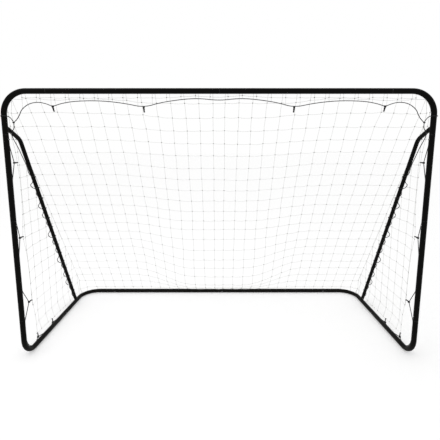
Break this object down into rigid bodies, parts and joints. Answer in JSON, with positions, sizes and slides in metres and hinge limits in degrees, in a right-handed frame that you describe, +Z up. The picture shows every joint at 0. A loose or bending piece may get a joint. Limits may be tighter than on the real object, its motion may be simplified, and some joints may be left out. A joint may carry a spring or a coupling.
{
  "type": "soccer goal",
  "caption": "Backyard soccer goal with a plug-together round-tube frame, a sloping net, border ropes and net hooks.",
  "frame": {"origin": "on the ground under the centre of the goal's box", "axes": "+X along the crossbar, +Y from the mouth to the back of the goal, +Z up"},
  "size_m": [3.0142, 1.207, 2],
  "materials": {
    "frame_paint": "satin black powder coat",
    "button_steel": "zinc-plated spring steel",
    "screw_steel": "zinc-plated steel",
    "net_cord": "white twine",
    "rope_cord": "dark twisted rope",
    "hook_plastic": "moulded black plastic"
  },
  "bodies": {
    "frame_and_net": {"bottom_corner_left": "frame_paint", "bottom_corner_right": "frame_paint", "brace_left": "frame_paint", "brace_right": "frame_paint", "brace_screw_foot_left": "screw_steel", "brace_screw_foot_right": "screw_steel", "brace_screw_top_left": "screw_steel", "brace_screw_top_right": "screw_steel", "crossbar_left": "frame_paint", "crossbar_right": "frame_paint", "net_back": "net_cord", "net_hook_crossbar_1_left": "hook_plastic", "net_hook_crossbar_1_right": "hook_plastic", "net_hook_crossbar_2_left": "hook_plastic", "net_hook_crossbar_2_right": "hook_plastic", "net_hook_side_1_left": "hook_plastic", "net_hook_side_1_right": "hook_plastic", "net_hook_side_2_left": "hook_plastic", "net_hook_side_2_right": "hook_plastic", "net_hook_side_3_left": "hook_plastic", "net_hook_side_3_right": "hook_plastic", "net_hook_side_4_left": "hook_plastic", "net_hook_side_4_right": "hook_plastic", "net_hook_side_5_left": "hook_plastic", "net_hook_side_5_right": "hook_plastic", "net_side_left": "net_cord", "net_side_right": "net_cord", "rear_bar_left": "frame_paint", "rear_bar_right": "frame_paint", "rear_corner_left": "frame_paint", "rear_corner_right": "frame_paint", "rope_crossbar": "rope_cord", "rope_lacing_left": "rope_cord", "rope_lacing_right": "rope_cord", "rope_side_left": "rope_cord", "rope_side_right": "rope_cord", "top_corner_left": "frame_paint", "top_corner_right": "frame_paint", "upright_lower_left": "frame_paint", "upright_lower_right": "frame_paint", "upright_upper_left": "frame_paint", "upright_upper_right": "frame_paint"},
    "snap_button_crossbar_body": {"snap_button_crossbar": "button_steel"},
    "snap_button_crossbar_left_body": {"snap_button_crossbar_left": "button_steel"},
    "snap_button_crossbar_right_body": {"snap_button_crossbar_right": "button_steel"},
    "snap_button_ground_rail_left_body": {"snap_button_ground_rail_left": "button_steel"},
    "snap_button_ground_rail_right_body": {"snap_button_ground_rail_right": "button_steel"},
    "snap_button_rear_bar_body": {"snap_button_rear_bar": "button_steel"},
    "snap_button_rear_bar_left_body": {"snap_button_rear_bar_left": "button_steel"},
    "snap_button_rear_bar_right_body": {"snap_button_rear_bar_right": "button_steel"},
    "snap_button_upright_bottom_left_body": {"snap_button_upright_bottom_left": "button_steel"},
    "snap_button_upright_bottom_right_body": {"snap_button_upright_bottom_right": "button_steel"},
    "snap_button_upright_middle_left_body": {"snap_button_upright_middle_left": "button_steel"},
    "snap_button_upright_middle_right_body": {"snap_button_upright_middle_right": "button_steel"},
    "snap_button_upright_top_left_body": {"snap_button_upright_top_left": "button_steel"},
    "snap_button_upright_top_right_body": {"snap_button_upright_top_right": "button_steel"}
  },
  "joints": [
    {"name": "press_crossbar", "type": "slide", "parent": "frame_and_net", "child": "snap_button_crossbar_body", "axis": [0, -1, 0], "range_m": [0, 0.0045], "stiffness_N_per_m": 4000},
    {"name": "press_crossbar_left", "type": "slide", "parent": "frame_and_net", "child": "snap_button_crossbar_left_body", "axis": [0, -1, 0], "range_m": [0, 0.0045], "stiffness_N_per_m": 4000},
    {"name": "press_crossbar_right", "type": "slide", "parent": "frame_and_net", "child": "snap_button_crossbar_right_body", "axis": [0, -1, 0], "range_m": [0, 0.0045], "stiffness_N_per_m": 4000},
    {"name": "press_ground_rail_left", "type": "slide", "parent": "frame_and_net", "child": "snap_button_ground_rail_left_body", "axis": [-1, 0, 0], "range_m": [0, 0.0045], "stiffness_N_per_m": 4000},
    {"name": "press_ground_rail_right", "type": "slide", "parent": "frame_and_net", "child": "snap_button_ground_rail_right_body", "axis": [1, 0, 0], "range_m": [0, 0.0045], "stiffness_N_per_m": 4000},
    {"name": "press_rear_bar", "type": "slide", "parent": "frame_and_net", "child": "snap_button_rear_bar_body", "axis": [0, 1, 0], "range_m": [0, 0.0045], "stiffness_N_per_m": 4000},
    {"name": "press_rear_bar_left", "type": "slide", "parent": "frame_and_net", "child": "snap_button_rear_bar_left_body", "axis": [0, 1, 0], "range_m": [0, 0.0045], "stiffness_N_per_m": 4000},
    {"name": "press_rear_bar_right", "type": "slide", "parent": "frame_and_net", "child": "snap_button_rear_bar_right_body", "axis": [0, 1, 0], "range_m": [0, 0.0045], "stiffness_N_per_m": 4000},
    {"name": "press_upright_bottom_left", "type": "slide", "parent": "frame_and_net", "child": "snap_button_upright_bottom_left_body", "axis": [-1, 0, 0], "range_m": [0, 0.0045], "stiffness_N_per_m": 4000},
    {"name": "press_upright_bottom_right", "type": "slide", "parent": "frame_and_net", "child": "snap_button_upright_bottom_right_body", "axis": [1, 0, 0], "range_m": [0, 0.0045], "stiffness_N_per_m": 4000},
    {"name": "press_upright_middle_left", "type": "slide", "parent": "frame_and_net", "child": "snap_button_upright_middle_left_body", "axis": [-1, 0, 0], "range_m": [0, 0.0045], "stiffness_N_per_m": 4000},
    {"name": "press_upright_middle_right", "type": "slide", "parent": "frame_and_net", "child": "snap_button_upright_middle_right_body", "axis": [1, 0, 0], "range_m": [0, 0.0045], "stiffness_N_per_m": 4000},
    {"name": "press_upright_top_left", "type": "slide", "parent": "frame_and_net", "child": "snap_button_upright_top_left_body", "axis": [-1, 0, 0], "range_m": [0, 0.0045], "stiffness_N_per_m": 4000},
    {"name": "press_upright_top_right", "type": "slide", "parent": "frame_and_net", "child": "snap_button_upright_top_right_body", "axis": [1, 0, 0], "range_m": [0, 0.0045], "stiffness_N_per_m": 4000}
  ]
}
